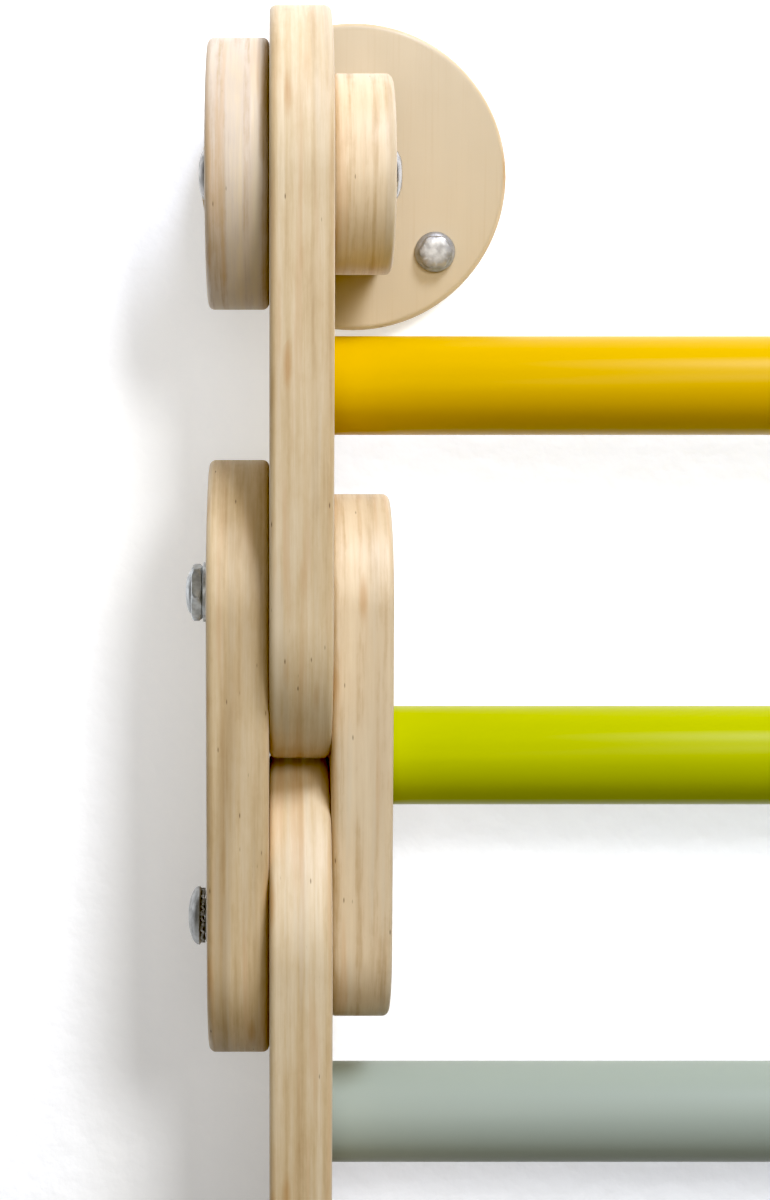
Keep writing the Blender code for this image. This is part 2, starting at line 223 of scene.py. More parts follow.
def shaded(colour, share):
    """The same colour, darker by a share."""
    return tuple(share * c for c in colour[:3]) + (1,)


def roughen(tree, shader, height, strength, depth):
    """A fine relief over the whole surface."""
    inputs = {"Strength": strength, "Distance": depth, "Height": height}
    bump = lay(tree, "ShaderNodeBump", inputs)
    tree.links.new(bump.outputs["Normal"], shader.inputs["Normal"])


CREAM_PLY = (0.70, 0.57, 0.38, 1)
HONEY_PLY = (0.60, 0.455, 0.265, 1)
BROWN_PLY = (0.46, 0.315, 0.16, 1)
WARM_STREAK = (0.59, 0.40, 0.225, 1)
PALE_STREAK = (0.65, 0.56, 0.41, 1)
# Heartwood brown, also laid on the outer plates as painted shade of the link beside them.
HEARTWOOD_AND_PAINTED_SHADE = (0.33, 0.225, 0.115, 1)
RESIN_KNOT = (0.45, 0.235, 0.08, 1)
OPEN_PORE = (0.12, 0.07, 0.035, 1)
BIRCH_VENEER = (0.645, 0.505, 0.335, 1)
VENEER_LINE = (0.46, 0.33, 0.19, 1)
PLY_PAIR_THICKNESS = 0.0040
PLY_BEND = 0.003


class Grain:
    """A board's own grain: across is the axis through its plies, and shift is its place in the log."""

    def __init__(self, tree, across, shift):
        self.tree = tree
        self.across = across
        self.shift = shift
        self.place = lay(tree, "ShaderNodeTexCoord").outputs["Object"]

    def drawn(self, through, wide, up, shift=0.0):
        """Places scaled through the plies, across the board's width and up its length."""
        scales = [wide, wide, up]
        scales[self.across] = through
        return stretched(self.tree, self.place, tuple(scales), self.shift + shift)

    def noise(self, through, along, shift, detail, roughness=0.5):
        vector = self.drawn(through, along, along, shift)
        return cloudy(self.tree, vector, detail=detail, roughness=roughness)


def ply_darkness(grain, middle, end_grain):
    """How dark the plies are on a board's edge, from thin layers, slow changes and fine lines."""
    tree = grain.tree
    layers = spread(tree, grain.noise(through=340, along=5, shift=0, detail=1.0), 0.30, 0.70)
    through = lay(tree, "ShaderNodeSeparateXYZ", {0: grain.place}).outputs[grain.across]
    depth = reckon(tree, "SUBTRACT", through, middle)
    waviness = grain.noise(through=70, along=8, shift=2, detail=1.0)
    bend = reckon(tree, "MULTIPLY", waviness, PLY_BEND)
    turns = reckon(tree, "MULTIPLY", reckon(tree, "ADD", depth, bend), 2 * math.pi / PLY_PAIR_THICKNESS)
    wave = reckon(tree, "ADD", reckon(tree, "SINE", turns), 1.0)
    slow = grain.noise(through=110, along=20, shift=3, detail=3.0, roughness=0.6)
    fade = spread(tree, slow, 0.34, 0.68)
    lines = spread(tree, end_grain, 0.32, 0.70)
    short = grain.noise(through=480, along=170, shift=7, detail=3.0, roughness=0.6)
    mottle = spread(tree, short, 0.35, 0.70)
    darkness = reckon(tree, "MULTIPLY", layers, 0.38)
    for part, share in ((wave, 0.08), (fade, 0.26), (lines, 0.22), (mottle, 0.12)):
        darkness = reckon(tree, "ADD", darkness, reckon(tree, "MULTIPLY", part, share))
    return darkness


def ply_colours(tree, darkness, cast):
    """Cream plies, plies in the board's own cast, and brown ones."""
    node = lay(tree, "ShaderNodeValToRGB", {"Fac": darkness})
    ramp = node.color_ramp
    ramp.elements[0].color = CREAM_PLY
    ramp.elements[0].position = 0.10
    ramp.elements[1].color = BROWN_PLY
    ramp.elements.new(0.55).color = cast
    return node.outputs["Color"]


def streaked(grain, edge, heartwood_and_shade):
    """Warm, pale and brown streaks that run along the board. The brown ones are heartwood, and where drawn
    strongly, as on the outer plates, they are also painted shade.
    """
    tree = grain.tree
    for colour, strength, through, along, shift, low, high in (
        (WARM_STREAK, 0.55, 330, 15, 9, 0.52, 0.72),
        (PALE_STREAK, 0.50, 280, 13, 13, 0.52, 0.72),
        (HEARTWOOD_AND_PAINTED_SHADE, heartwood_and_shade, 85, 6, 21, 0.50, 0.68),
    ):
        patches = spread(tree, grain.noise(through, along, shift, detail=2.0), low, high)
        edge = stain(tree, reckon(tree, "MULTIPLY", patches, strength), edge, colour)
    return edge


def flecks(grain, through, along, shift, core, rim, share):
    """Small soft spots, in as large a share of the board's cells as given."""
    tree = grain.tree
    inputs = {"Vector": grain.drawn(through, along, along, shift), "Scale": 1.0, "Randomness": 1.0}
    cells = lay(tree, "ShaderNodeTexVoronoi", inputs)
    spots = spread(tree, cells.outputs["Distance"], core, rim)
    spots = reckon(tree, "SUBTRACT", 1.0, spots, clamp=True)
    lot = lay(tree, "ShaderNodeSeparateColor", {0: cells.outputs["Color"]}).outputs[0]
    return reckon(tree, "MULTIPLY", spots, reckon(tree, "LESS_THAN", lot, share))


def face_veneer(grain, veneer):
    """The board's face: a soft long figure with fine pores."""
    tree = grain.tree
    broad = grain.drawn(through=3, wide=34, up=3.2, shift=8)
    figure = cloudy(tree, broad, detail=3.0, distortion=0.6)
    face = stain(tree, spread(tree, figure, 0.3, 0.7), veneer, shaded(veneer, 0.91))
    fine = cloudy(tree, grain.drawn(through=9, wide=900, up=22), detail=4.0, roughness=0.65)
    lines = reckon(tree, "MULTIPLY", spread(tree, fine, 0.48, 0.78), 0.24)
    return stain(tree, lines, face, VENEER_LINE)


def birch_plywood(name, across, middle, shift, cast=HONEY_PLY, veneer=BIRCH_VENEER, heartwood_and_shade=0.12):
    """Clear lacquered birch plywood: layers on the edges, long plain grain on the faces."""
    material, tree, shader = new_finish(name)
    grain = Grain(tree, across, shift)
    end_grain = grain.noise(through=1300, along=45, shift=5, detail=5.0, roughness=0.65)
    edge = ply_colours(tree, ply_darkness(grain, middle, end_grain), cast)
    edge = streaked(grain, edge, heartwood_and_shade)
    knots = flecks(grain, 230, 42, 1.7, core=0.08, rim=0.42, share=0.16)
    pores = flecks(grain, 800, 190, 0.0, core=0.05, rim=0.22, share=0.045)
    edge = stain(tree, reckon(tree, "MULTIPLY", knots, 0.55), edge, RESIN_KNOT)
    edge = stain(tree, reckon(tree, "MULTIPLY", pores, 0.8), edge, OPEN_PORE)

    normal = lay(tree, "ShaderNodeNewGeometry").outputs["Normal"]
    facing = lay(tree, "ShaderNodeSeparateXYZ", {0: normal}).outputs[across]
    on_face = spread(tree, reckon(tree, "ABSOLUTE", facing), 0.80, 0.97)
    colour = stain(tree, on_face, edge, face_veneer(grain, veneer))
    tree.links.new(colour, shader.inputs["Base Color"])
    tree.links.new(spread(tree, end_grain, 0.2, 0.8, 0.40, 0.56), shader.inputs["Roughness"])
    relief = reckon(tree, "SUBTRACT", end_grain, reckon(tree, "MULTIPLY", pores, 1.5))
    roughen(tree, shader, relief, strength=0.22, depth=0.0003)
    return material


link_plywood = {
    side: birch_plywood(f"link_plywood_{side}", 0, sign * LINK_CENTRE_X, shift)
    for (side, sign), shift in zip(SIDES.items(), (0.0, 4.3))
}
link_outline = round_ended(LINK_WIDTH, LINK_PITCH)
link_holes = bolt_holes(LINK_PITCH) + [blind_socket((0, 0))]
for number in range(1, LINK_COUNT + 1):
    link_middle = -(number - 1) * PIVOT_PITCH - LINK_PITCH / 2
    for side, sign in SIDES.items():
        node = f"link_{number}_{side}"
        spot = (sign * LINK_CENTRE_X, CHAIN_Y, link_middle)
        link = cut_board(f"finished_{node}", link_outline, link_holes, spot, INWARD[side])
        fit(link, f"link_{number}", node, link_plywood[side])

# Rungs
# Three turned beech rods, 30 mm thick, dipped in satin lacquer: yellow, lime and sage. The first
# and third are glued between the links, and the second between the inner plates.

RUNG_RADIUS = 0.015
RUNG_TIP = [(0, 0.0138), (0.0008, 0.0147), (0.002, RUNG_RADIUS)]
RUNG_STEPS = 72
LINK_RUNG_HALF = 0.3287
PLATE_RUNG_HALF = 0.3104


def turned(name, stations, steps, spot, turn=(0, 0, 0), hollow=False):
    """A piece turned about X from (x, radius) stations. A third number is half the distance
    across the flats, where the piece is cut to a hexagon."""
    bm = bmesh.new()
    rings = []
    for x, radius, *flats in stations:
        verts = []
        for k in range(steps):
            angle = 2 * math.pi * k / steps
            reach = radius
            if flats:
                reach = min(radius, flats[0] / math.cos((angle % (math.pi / 3)) - math.pi / 6))
            verts.append(bm.verts.new((x, reach * math.cos(angle), reach * math.sin(angle))))
        rings.append(verts)
    for near, far in zip(rings, rings[1:]):
        band(bm, near, far)
    if hollow:
        band(bm, rings[-1], rings[0])
    else:
        bm.faces.new(rings[0])
        bm.faces.new(rings[-1])
    return stood_in_place(bm, name, spot, turn)


def rung_lacquer(name, colour, deeper, roughness):
    """Satin lacquer over beech: a faint long grain, and a slightly uneven coat."""
    material, tree, shader = new_finish(name)
    place = lay(tree, "ShaderNodeTexCoord").outputs["Object"]
    cloud = cloudy(tree, stretched(tree, place, (5, 30, 30)), detail=2.0)
    grain = cloudy(tree, stretched(tree, place, (14, 700, 700)), detail=3.0)
    peel = cloudy(tree, stretched(tree, place, (260, 260, 260)), detail=2.0)
    coat = stain(tree, spread(tree, cloud, 0.3, 0.7), colour, deeper)
    tree.links.new(coat, shader.inputs["Base Color"])
    sheen = spread(tree, cloud, 0.2, 0.8, roughness - 0.03, roughness + 0.05)
    tree.links.new(sheen, shader.inputs["Roughness"])
    relief = reckon(tree, "ADD", reckon(tree, "MULTIPLY", grain, 0.6), reckon(tree, "MULTIPLY", peel, 0.5))
    roughen(tree, shader, relief, strength=0.10, depth=0.0002)
    shader.inputs["Specular IOR Level"].default_value = 0.15
    return material


rung_lacquers = (
    rung_lacquer("yellow_lacquer", (0.60, 0.365, 0.0, 1), (0.57, 0.345, 0.0, 1), 0.36),
    rung_lacquer("lime_lacquer", (0.41, 0.44, 0.0, 1), (0.385, 0.415, 0.0, 1), 0.36),
    rung_lacquer("sage_lacquer", (0.345, 0.39, 0.335, 1), (0.33, 0.375, 0.32, 1), 0.42),
)
for number in range(1, 2 * LINK_COUNT):
    lacquer = rung_lacquers[(number - 1) % len(rung_lacquers)]
    on_links = number % 2 == 1
    body = f"link_{(number + 1) // 2}" if on_links else f"plates_{number // 2}"
    half = LINK_RUNG_HALF if on_links else PLATE_RUNG_HALF
    stations = [(along - half, radius) for along, radius in RUNG_TIP]
    stations += [(-x, radius) for x, radius in reversed(stations)]
    spot = (0, CHAIN_Y, -LINK_PITCH / 2 - (number - 1) * PIVOT_PITCH / 2)
    rung = turned(f"finished_rung_{number}", stations, RUNG_STEPS, spot)
    fit(rung, body, f"rung_{number}", lacquer)

# Outer plates
# One a side, shorter and narrower than the links, from the same lacquered plywood, and bolted over
# the joint between them on the outside of the frame.

OUTER_PLATE_WIDTH = 0.081
OUTER_CENTRE_X = 0.3473
# On the outer plates the brown patches are drawn stronger: heartwood and painted shade of the link beside
# them.
outer_plywood = {
    side: birch_plywood(f"outer_plywood_{side}", 0, sign * OUTER_CENTRE_X, shift, heartwood_and_shade=0.42)
    for (side, sign), shift in zip(SIDES.items(), (9.35, 7.1))
}
outer_outline = round_ended(OUTER_PLATE_WIDTH, PLATE_PITCH)
outer_holes = bolt_holes(PLATE_PITCH)
for number in range(1, LINK_COUNT):
    plate_middle = -number * PIVOT_PITCH + PLATE_PITCH / 2
    for side, sign in SIDES.items():
        node = f"outer_plate_{number}_{side}"
        spot = (sign * OUTER_CENTRE_X, CHAIN_Y, plate_middle)
        plate = cut_board(f"finished_{node}", outer_outline, outer_holes, spot, INWARD[side])
        fit(plate, f"plates_{number}", node, outer_plywood[side])

# Inner plates
# One a side, the narrowest boards of the chain, from the same lacquered plywood. Each carries the
# middle rung and has two round recesses that let the ends of the bolts lie flush.

INNER_PLATE_WIDTH = 0.060
INNER_CENTRE_X = 0.3107
RECESS_RADIUS = 0.0103
RECESS_DEPTH = 0.0052
FAWN_PLY = (0.64, 0.505, 0.325, 1)
inner_plywood = {
    side: birch_plywood(f"inner_plywood_{side}", 0, sign * INNER_CENTRE_X, shift, FAWN_PLY)
    for (side, sign), shift in zip(SIDES.items(), (17.9, 22.4))
}
inner_outline = round_ended(INNER_PLATE_WIDTH, PLATE_PITCH)


def recessed(centre):
    """A bolt hole with a flat-bottomed recess in the inner face."""
    recess, shank = circle(centre, RECESS_RADIUS), circle(centre, BOLT_HOLE_RADIUS)
    return [(recess, 0), (recess, RECESS_DEPTH), (shank, RECESS_DEPTH), (shank, BOARD_THICKNESS)]


inner_holes = [recessed((0, PLATE_PITCH / 2)), recessed((0, -PLATE_PITCH / 2)), blind_socket((0, 0))]
for number in range(1, LINK_COUNT):
    plate_middle = -number * PIVOT_PITCH + PLATE_PITCH / 2
    for side, sign in SIDES.items():
        node = f"inner_plate_{number}_{side}"
        spot = (sign * INNER_CENTRE_X, CHAIN_Y, plate_middle)
        plate = cut_board(f"finished_{node}", inner_outline, inner_holes, spot, INWARD[side])
        fit(plate, f"plates_{number}", node, inner_plywood[side])

# Upper bolts, nut washers and cap nuts
# The bolt above the middle rung goes in from inside, its flat head flush in the inner plate, and is
# closed outside by a thick washer and a low hexagonal cap nut. All of it is zinc-plated steel.

OUTER_FACE_X = 0.3563
INNER_FACE_X = 0.3017
BOLT_RADIUS = 0.005
FASTENER_STEPS = 48
CAP_NUT_STEPS = 72
CORNER_TO_FLAT_SHARE = 1.1547
FLUSH_HEAD_X = INNER_FACE_X + 0.0003
FLUSH_HEAD_RADIUS = 0.010
FLUSH_HEAD_THICKNESS = 0.0046
FLUSH_HEAD_CHAMFER = 0.0008
SOCKET_KEY_FLATS = 0.006
SOCKET_KEY_DEPTH = 0.0032
UPPER_SHANK_END_X = OUTER_FACE_X + 0.0055
NUT_WASHER_X = OUTER_FACE_X + 0.0001
NUT_WASHER_THICKNESS = 0.0020
NUT_WASHER_RADIUS = 0.0091
CAP_NUT_X = OUTER_FACE_X + 0.0022
CAP_NUT_FLATS = 0.016
CAP_NUT_CORNER_RADIUS = 0.00924
CAP_NUT_HEIGHT = 0.0034
CAP_NUT_FOOT = [(0, 0.0078), (0.0003, 0.0083), (0.0009, CAP_NUT_CORNER_RADIUS)]
CAP_NUT_TOP = [(-0.0008, CAP_NUT_CORNER_RADIUS), (-0.0003, 0.0084)]
CAP_NUT_LAND_RADIUS = 0.0074
CAP_DOME_RADIUS = 0.0066
CAP_DOME_HEIGHT = 0.0018
DOME_STEPS = 9
RIM_EASE = 0.0002
OUTWARD = {"left": (0, 0, math.pi), "right": (0, 0, 0)}


def plated_steel(name, tint, roughness):
    """Zinc plate: cool grey, cloudy and lightly scratched."""
    material, tree, shader = new_finish(name)
    place = lay(tree, "ShaderNodeTexCoord").outputs["Object"]
    cloud = cloudy(tree, place, 420.0, detail=4.0)
    scratches = cloudy(tree, stretched(tree, place, (2600, 500, 500)), detail=2.0)
    plate = stain(tree, spread(tree, cloud, 0.35, 0.7), tint, shaded(tint, 0.72))
    tree.links.new(plate, shader.inputs["Base Color"])
    tree.links.new(spread(tree, cloud, 0.3, 0.7, roughness, roughness + 0.14), shader.inputs["Roughness"])
    roughen(tree, shader, scratches, strength=0.12, depth=0.0001)
    shader.inputs["Metallic"].default_value = 0.78
    return material


zinc = plated_steel("zinc_plate", (0.62, 0.645, 0.65, 1), 0.46)


def domed(start, height, radius, crown):
    """Stations of a dome: a round shoulder that flattens to a crown, a share of the radius."""
    shoulder = [QUARTER * (k + 1) / DOME_STEPS for k in range(DOME_STEPS)]
    return [
        (start + height * math.sin(a), radius * (crown + (1 - crown) * math.cos(a))) for a in shoulder
    ]


def upper_bolt_stations():
    under = FLUSH_HEAD_X + FLUSH_HEAD_THICKNESS
    flats = SOCKET_KEY_FLATS / 2
    corner = flats * CORNER_TO_FLAT_SHARE
    key_socket = [(FLUSH_HEAD_X + SOCKET_KEY_DEPTH, corner, flats), (FLUSH_HEAD_X, corner, flats)]
    head = [
        (FLUSH_HEAD_X, FLUSH_HEAD_RADIUS - FLUSH_HEAD_CHAMFER),
        (FLUSH_HEAD_X + FLUSH_HEAD_CHAMFER, FLUSH_HEAD_RADIUS),
        (under, FLUSH_HEAD_RADIUS),
    ]
    return key_socket + head + [(under, BOLT_RADIUS), (UPPER_SHANK_END_X, BOLT_RADIUS)]


def cap_nut_stations():
    """The bore up to its end, the hexagon with eased corners, and the dome on its shoulder."""
    shoulder, flats = CAP_NUT_X + CAP_NUT_HEIGHT, CAP_NUT_FLATS / 2
    bore = [(shoulder, BOLT_HOLE_RADIUS), (CAP_NUT_X, BOLT_HOLE_RADIUS)]
    hexagon = [(CAP_NUT_X + out, radius, flats) for out, radius in CAP_NUT_FOOT]
    hexagon += [(shoulder + out, radius, flats) for out, radius in CAP_NUT_TOP]
    land = [(shoulder, CAP_NUT_LAND_RADIUS), (shoulder, CAP_DOME_RADIUS)]
    return bore + hexagon + land + domed(shoulder, CAP_DOME_HEIGHT, CAP_DOME_RADIUS, crown=0.1)


def flat_ring(start, thickness, radius):
    """Stations of a washer or a round nut, with its rim lightly rounded."""
    end = start + thickness
    near_rim = [(start, radius - RIM_EASE), (start + RIM_EASE, radius)]
    far_rim = [(end - RIM_EASE, radius), (end, radius - RIM_EASE)]
    return [(start, BOLT_HOLE_RADIUS), *near_rim, *far_rim, (end, BOLT_HOLE_RADIUS)]


nut_washer_stations = flat_ring(NUT_WASHER_X, NUT_WASHER_THICKNESS, NUT_WASHER_RADIUS)
for number in range(1, LINK_COUNT):
    upper = (0, CHAIN_Y, -number * PIVOT_PITCH + PLATE_PITCH)
    for side in SIDES:
        for node, stations, steps, hollow in (
            (f"upper_bolt_{number}_{side}", upper_bolt_stations(), FASTENER_STEPS, False),
            (f"nut_washer_{number}_{side}", nut_washer_stations, FASTENER_STEPS, True),
            (f"cap_nut_{number}_{side}", cap_nut_stations(), CAP_NUT_STEPS, False),
        ):
            piece = turned(f"finished_{node}", stations, steps, upper, OUTWARD[side], hollow)
            fit(piece, f"plates_{number}", node, zinc)

# Lower bolts, their washers and round nuts
# The bolt below the middle rung has a mushroom head outside, on a toothed lock washer and a plain
# washer. Its end takes a round nut that lies flush in the inner plate. All are plated steel.

MUSHROOM_SEAT_X = OUTER_FACE_X + 0.0031
MUSHROOM_RIM = 0.0004
MUSHROOM_RADIUS = 0.0089
MUSHROOM_SEAT_RADIUS = 0.0084
MUSHROOM_HEIGHT = 0.0034
SHANK_TIP_X = INNER_FACE_X + 0.0006
SHANK_CHAMFER = 0.0006
PLAIN_WASHER_X = OUTER_FACE_X + 0.0001
PLAIN_WASHER_THICKNESS = 0.0014
PLAIN_WASHER_RADIUS = 0.0081
ROUND_NUT_X = INNER_FACE_X + 0.0003
ROUND_NUT_THICKNESS = 0.0046
ROUND_NUT_RADIUS = 0.0099
TOOTH_COUNT = 14
TOOTHED_X = OUTER_FACE_X + 0.0020
TOOTHED_THICKNESS = 0.0007
TOOTH_TIP_RADIUS = 0.0083
TOOTH_ROOT_RADIUS = 0.0070
TOOTH_BEND = 0.0003
TOOTH_LIFTS = (0.00035, 0.0, 0.0007, 0.00035)
grey_zinc = plated_steel("grey_zinc_plate", (0.46, 0.47, 0.465, 1), 0.42)
dull_zinc = plated_steel("dull_zinc_plate", (0.58, 0.59, 0.59, 1), 0.66)


def lower_bolt_stations():
    rim_x = MUSHROOM_SEAT_X + MUSHROOM_RIM
    shank = [(SHANK_TIP_X, BOLT_RADIUS - SHANK_CHAMFER), (SHANK_TIP_X + SHANK_CHAMFER, BOLT_RADIUS)]
    shank += [(MUSHROOM_SEAT_X, BOLT_RADIUS)]
    rim = [(MUSHROOM_SEAT_X, MUSHROOM_SEAT_RADIUS), (rim_x, MUSHROOM_RADIUS)]
    return shank + rim + domed(rim_x, MUSHROOM_HEIGHT, MUSHROOM_RADIUS, crown=0.12)


def toothed_washer(name, spot, turn):
    """A ring of teeth, each bent a little out of the plane of the ring."""
    bm = bmesh.new()
    inner_low, outer_low, outer_high, inner_high = [], [], [], []
    corners = 4 * TOOTH_COUNT
    for k in range(corners):
        angle = 2 * math.pi * k / corners
        outer = TOOTH_TIP_RADIUS if k % 4 in (1, 2) else TOOTH_ROOT_RADIUS
        bent_x = TOOTHED_X + TOOTH_LIFTS[k % 4] - TOOTH_BEND
        for loop, radius, x in (
            (inner_low, BOLT_HOLE_RADIUS, TOOTHED_X),
            (outer_low, outer, bent_x),
            (outer_high, outer, bent_x + TOOTHED_THICKNESS),
            (inner_high, BOLT_HOLE_RADIUS, TOOTHED_X + TOOTHED_THICKNESS),
        ):
            loop.append(bm.verts.new((x, radius * math.cos(angle), radius * math.sin(angle))))
    loops = [inner_low, outer_low, outer_high, inner_high]
    for near, far in zip(loops, loops[1:] + loops[:1]):
        band(bm, near, far)
    return stood_in_place(bm, name, spot, turn, smooth=False)


plain_washer_stations = flat_ring(PLAIN_WASHER_X, PLAIN_WASHER_THICKNESS, PLAIN_WASHER_RADIUS)
round_nut_stations = flat_ring(ROUND_NUT_X, ROUND_NUT_THICKNESS, ROUND_NUT_RADIUS)
for number in range(1, LINK_COUNT):
    lower = (0, CHAIN_Y, -number * PIVOT_PITCH)
    body = f"plates_{number}"
    for side in SIDES:
        for node, stations, hollow in (
            (f"lower_bolt_{number}_{side}", lower_bolt_stations(), False),
            (f"plain_washer_{number}_{side}", plain_washer_stations, True),
            (f"round_nut_{number}_{side}", round_nut_stations, True),
        ):
            piece = turned(f"finished_{node}", stations, FASTENER_STEPS, lower, OUTWARD[side], hollow)
            fit(piece, body, node, grey_zinc)
        node = f"lock_washer_{number}_{side}"
        fit(toothed_washer(f"finished_{node}", lower, OUTWARD[side]), body, node, dull_zinc)

# Wall flanges and their screws
# One round plywood board lies on the wall at the top of each chain, held by two plated screws with
# domed hexagon heads. The upper screw is driven before the link hides it.

FLANGE_RADIUS = 0.050
FLANGE_THICKNESS = 0.018
FLANGE_STEPS = 96
FLANGE_MIDDLE_Y = -FLANGE_THICKNESS / 2
SCREW_CIRCLE_RADIUS = 0.036
SCREW_SLOPE = math.radians(42)
SCREW_HOLE_RADIUS = 0.0045
SCREW_SHANK_RADIUS = 0.004
SCREW_SEAT = FLANGE_THICKNESS + 0.0003
SCREW_COLLAR = [(0, 0.0063), (0.0003, 0.0066), (0.0011, 0.0066), (0.0019, 0.0064), (0.0025, 0.0059)]
SCREW_HEXAGON = [(0.0028, 0.0056, 0.0053), (0.0037, 0.0056, 0.0052), (0.0043, 0.0053, 0.0049)]
SCREW_CROWN = [(0.0046, 0.0046), (0.0048, 0.0030)]
MORTISE_HALF_WIDTH = 0.0093
MORTISE_HALF_HEIGHT = 0.0183
MORTISE_DEPTH = 0.012
STRAW_VENEER = (0.585, 0.475, 0.315, 1)
flange_plywood = birch_plywood("flange_plywood", 1, FLANGE_MIDDLE_Y, 31.3, veneer=STRAW_VENEER)
bright_zinc = plated_steel("bright_zinc_plate", (0.47, 0.46, 0.445, 1), 0.44)


def flange_outline(inset):
    return circle((0, 0), FLANGE_RADIUS - inset, FLANGE_STEPS)


def mortise():
    across, up = MORTISE_HALF_WIDTH, MORTISE_HALF_HEIGHT
    corners = [(across, -up), (across, up), (-across, up), (-across, -up)]
    return [(corners, 0), (corners, MORTISE_DEPTH)]


def wall_screw_stations():
    """The shank, the collar's round rim, the low hexagon and its crown, out from the wall."""
    shank = [(0, SCREW_SHANK_RADIUS), (SCREW_SEAT, SCREW_SHANK_RADIUS)]
    head = SCREW_COLLAR + SCREW_HEXAGON + SCREW_CROWN
    return shank + [(SCREW_SEAT + out, *radii) for out, *radii in head]


for side, sign in SIDES.items():
    across = sign * SCREW_CIRCLE_RADIUS * math.cos(SCREW_SLOPE)
    up = SCREW_CIRCLE_RADIUS * math.sin(SCREW_SLOPE)
    screw_spots = {"lower": (-across, -up), "upper": (across, up)}
    holes = [mortise()]
    holes += [bored_through(spot, SCREW_HOLE_RADIUS, FLANGE_THICKNESS) for spot in screw_spots.values()]
    node = f"wall_flange_{side}"
    spot = (sign * INNER_CENTRE_X, FLANGE_MIDDLE_Y, 0)
    upright = (QUARTER, 0, 0)
    flange = cut_board(f"finished_{node}", flange_outline, holes, spot, upright, FLANGE_THICKNESS)
    fit(flange, "wall_brackets", node, flange_plywood)
    for level, (across, up) in screw_spots.items():
        node = f"wall_screw_{level}_{side}"
        spot = (sign * INNER_CENTRE_X + across, 0, up)
        away = (0, 0, -QUARTER)
        screw = turned(f"finished_{node}", wall_screw_stations(), FASTENER_STEPS, spot, away)
        fit(screw, "wall_brackets", node, bright_zinc)

# Tongues and covers
# The tongue is a block of the same plywood, tenoned and glued into the flange beside the link. The
# round cover lies on the other side of the link, and one binding bolt holds all three together.

TONGUE_SHOULDER = 0.0527
TONGUE_END = 0.0647
TENON_HALF_HEIGHT = 0.018
COVER_STEPS = 80
BINDING_HEAD_RADIUS = 0.0079
BINDING_RIM = 0.0003
BINDING_SEAT_RADIUS = 0.0076
SLEEVE_MOUTH_X = INNER_FACE_X + 0.002
SLEEVE_SEAT_X = OUTER_FACE_X + 0.0003
SLEEVE_HEAD_HEIGHT = 0.0023
THREAD_LENGTH = 0.026
THREAD_BORE_RADIUS = 0.0035
THREAD_RADIUS = 0.003
BRACKET_SCREW_SEAT_X = -INNER_FACE_X + 0.0003
BRACKET_SCREW_HEIGHT = 0.0030
DRIVE_FLATS = 0.0044
DRIVE_DEPTH = 0.0018
GREY_PLY = (0.62, 0.515, 0.40, 1)
cover_plywood = {
    side: birch_plywood(f"cover_plywood_{side}", 0, sign * OUTER_CENTRE_X, shift, GREY_PLY)
    for (side, sign), shift in zip(SIDES.items(), (38.2, 44.9))
}
polished_zinc = plated_steel("polished_zinc_plate", (0.40, 0.39, 0.38, 1), 0.16)


def tongue_outline(inset):
    radius = INNER_PLATE_WIDTH / 2 - inset
    shoulder, end, tenon = TONGUE_SHOULDER - inset, TONGUE_END - inset, TENON_HALF_HEIGHT - inset
    lower = [(shoulder, -radius), (shoulder, -tenon), (end, -tenon)]
    upper = [(x, -y) for x, y in reversed(lower)]
    return arc((0, 0), radius, QUARTER, 3 * QUARTER, ROUND_END_STEPS) + lower + upper


def cover_outline(inset):
    return circle((0, 0), OUTER_PLATE_WIDTH / 2 - inset, COVER_STEPS)


def sleeve_nut_stations():
    """The threaded bore, the sleeve through the boards, and the low round head outside."""
    rim_x = SLEEVE_SEAT_X + BINDING_RIM
    bore = [(SLEEVE_MOUTH_X + THREAD_LENGTH, THREAD_BORE_RADIUS), (SLEEVE_MOUTH_X, THREAD_BORE_RADIUS)]
    sleeve = [(SLEEVE_MOUTH_X, BOLT_RADIUS), (SLEEVE_SEAT_X, BOLT_RADIUS)]
    rim = [(SLEEVE_SEAT_X, BINDING_SEAT_RADIUS), (rim_x, BINDING_HEAD_RADIUS)]
    return bore + sleeve + rim + domed(rim_x, SLEEVE_HEAD_HEIGHT, BINDING_HEAD_RADIUS, crown=0.3)


def bracket_screw_stations():
    """The thread, the domed head and the hexagon socket in its crown."""
    seat, rim_x = BRACKET_SCREW_SEAT_X, BRACKET_SCREW_SEAT_X + BINDING_RIM
    thread = [(-INNER_FACE_X - THREAD_LENGTH, THREAD_RADIUS), (seat, THREAD_RADIUS)]
    rim = [(seat, BINDING_SEAT_RADIUS), (rim_x, BINDING_HEAD_RADIUS)]
    dome = domed(rim_x, BRACKET_SCREW_HEIGHT, BINDING_HEAD_RADIUS, crown=0.1)[:-3]
    top, flats = dome[-1][0], DRIVE_FLATS / 2
    corner = flats * CORNER_TO_FLAT_SHARE
    drive = [(top, corner, flats), (top - DRIVE_DEPTH, corner, flats)]
    return thread + rim + dome + drive


